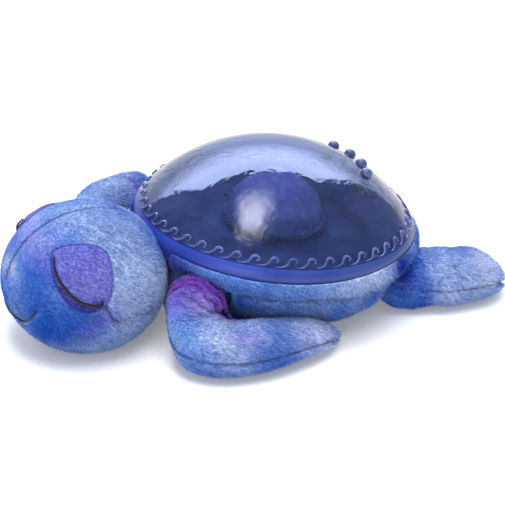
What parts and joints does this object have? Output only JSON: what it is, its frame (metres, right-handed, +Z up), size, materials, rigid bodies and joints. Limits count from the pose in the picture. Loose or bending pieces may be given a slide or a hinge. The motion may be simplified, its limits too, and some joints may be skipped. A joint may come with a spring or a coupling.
{
  "type": "plush turtle night light",
  "caption": "Stuffed turtle with a clear tinted lamp shell that glows through a slowly turning rippled lens, push buttons on the shell and a battery door underneath.",
  "frame": {"origin": "on the floor under the middle of the shell, on the flush underside of the base", "axes": "+Z up, the head toward -Y, the turtle's left side toward +X"},
  "size_m": [0.2745, 0.379, 0.1219],
  "materials": {
    "plush": "short pile, mottled blue",
    "plush_deep": "short pile, deep blue",
    "eyelid": "short pile, violet",
    "shell": "clear tinted, polished, rippled inside",
    "lens": "clear, rippled",
    "button": "satin",
    "housing": "fine texture",
    "white_plastic": "moulded",
    "gear": "moulded",
    "dark_plastic": "moulded",
    "board": "lacquered circuit board",
    "led": "clear",
    "steel": "zinc plated",
    "cell": "plain wrapper"
  },
  "bodies": {
    "turtle": {"plush_body": "plush", "belly_panel": "plush_deep", "plush_head": "plush", "eyelid_left": "eyelid", "eyelid_right": "eyelid", "shell_dome": "shell", "base_housing": "housing", "shell_screws": "steel", "deck": "white_plastic", "deck_screws": "steel", "idler_clip": "steel", "motor": "steel", "motor_screws": "steel", "led_board": "board", "leds": "led", "led_reflector": "white_plastic", "button_board": "board", "tact_switches": "dark_plastic", "board_screws": "steel", "main_board": "board", "board_parts": "dark_plastic", "battery_box": "dark_plastic", "battery_cells": "cell", "battery_contacts": "steel", "battery_door": "housing", "door_screw": "steel", "speaker": "dark_plastic"},
    "front_left": {"front_flipper_left": "plush"},
    "front_right": {"front_flipper_right": "plush"},
    "rear_left": {"rear_flipper_left": "plush"},
    "rear_right": {"rear_flipper_right": "plush"},
    "button_1": {"button_left_outer": "button"},
    "button_2": {"button_left_inner": "button"},
    "button_3": {"button_right_inner": "button"},
    "button_4": {"button_right_outer": "button"},
    "lens": {"lens_dome": "lens"},
    "idler": {"idler_gear": "gear"},
    "pinion": {"motor_pinion": "gear", "motor_shaft": "steel"}
  },
  "joints": [
    {"name": "button_left_outer_press", "type": "slide", "parent": "turtle", "child": "button_1", "axis": [0, -0.5882, -0.8087], "range_m": [0, 0.001], "stiffness_N_per_m": 800},
    {"name": "button_left_inner_press", "type": "slide", "parent": "turtle", "child": "button_2", "axis": [0, -0.5882, -0.8087], "range_m": [0, 0.001], "stiffness_N_per_m": 800},
    {"name": "button_right_inner_press", "type": "slide", "parent": "turtle", "child": "button_3", "axis": [0, -0.5882, -0.8087], "range_m": [0, 0.001], "stiffness_N_per_m": 800},
    {"name": "button_right_outer_press", "type": "slide", "parent": "turtle", "child": "button_4", "axis": [0, -0.5882, -0.8087], "range_m": [0, 0.001], "stiffness_N_per_m": 800},
    {"name": "lens_spin", "type": "hinge", "parent": "turtle", "child": "lens", "pos_m": [0, 0, 0.057], "axis": [0, 0.1115, 0.9938], "continuous": true},
    {"name": "idler_spin", "type": "hinge", "parent": "turtle", "child": "idler", "pos_m": [-0.04551, 0.02611, 0.05407], "axis": [0, 0.1115, 0.9938], "continuous": true},
    {"name": "pinion_spin", "type": "hinge", "parent": "turtle", "child": "pinion", "pos_m": [-0.0539, 0.00801, 0.0561], "axis": [0, 0.1115, 0.9938], "continuous": true},
    {"name": "front_left_swing", "type": "hinge", "parent": "turtle", "child": "front_left", "pos_m": [0.05384, -0.08787, 0.039], "axis": [0, 0, -1], "range_deg": [0, 18], "stiffness_Nm_per_rad": 0.12},
    {"name": "front_right_swing", "type": "hinge", "parent": "turtle", "child": "front_right", "pos_m": [-0.05384, -0.08787, 0.039], "axis": [0, 0, 1], "range_deg": [-12, 6], "stiffness_Nm_per_rad": 0.12},
    {"name": "rear_left_swing", "type": "hinge", "parent": "turtle", "child": "rear_left", "pos_m": [0.06695, 0.07435, 0.022], "axis": [0, 0, -1], "range_deg": [-6, 28], "stiffness_Nm_per_rad": 0.12},
    {"name": "rear_right_swing", "type": "hinge", "parent": "turtle", "child": "rear_right", "pos_m": [-0.06695, 0.07435, 0.022], "axis": [0, 0, 1], "range_deg": [-28, 10], "stiffness_Nm_per_rad": 0.12}
  ],
  "couplings": [
    {"joint": "idler_spin", "follows": "lens_spin", "ratio": -3.2},
    {"joint": "pinion_spin", "follows": "lens_spin", "ratio": 5.3333}
  ]
}
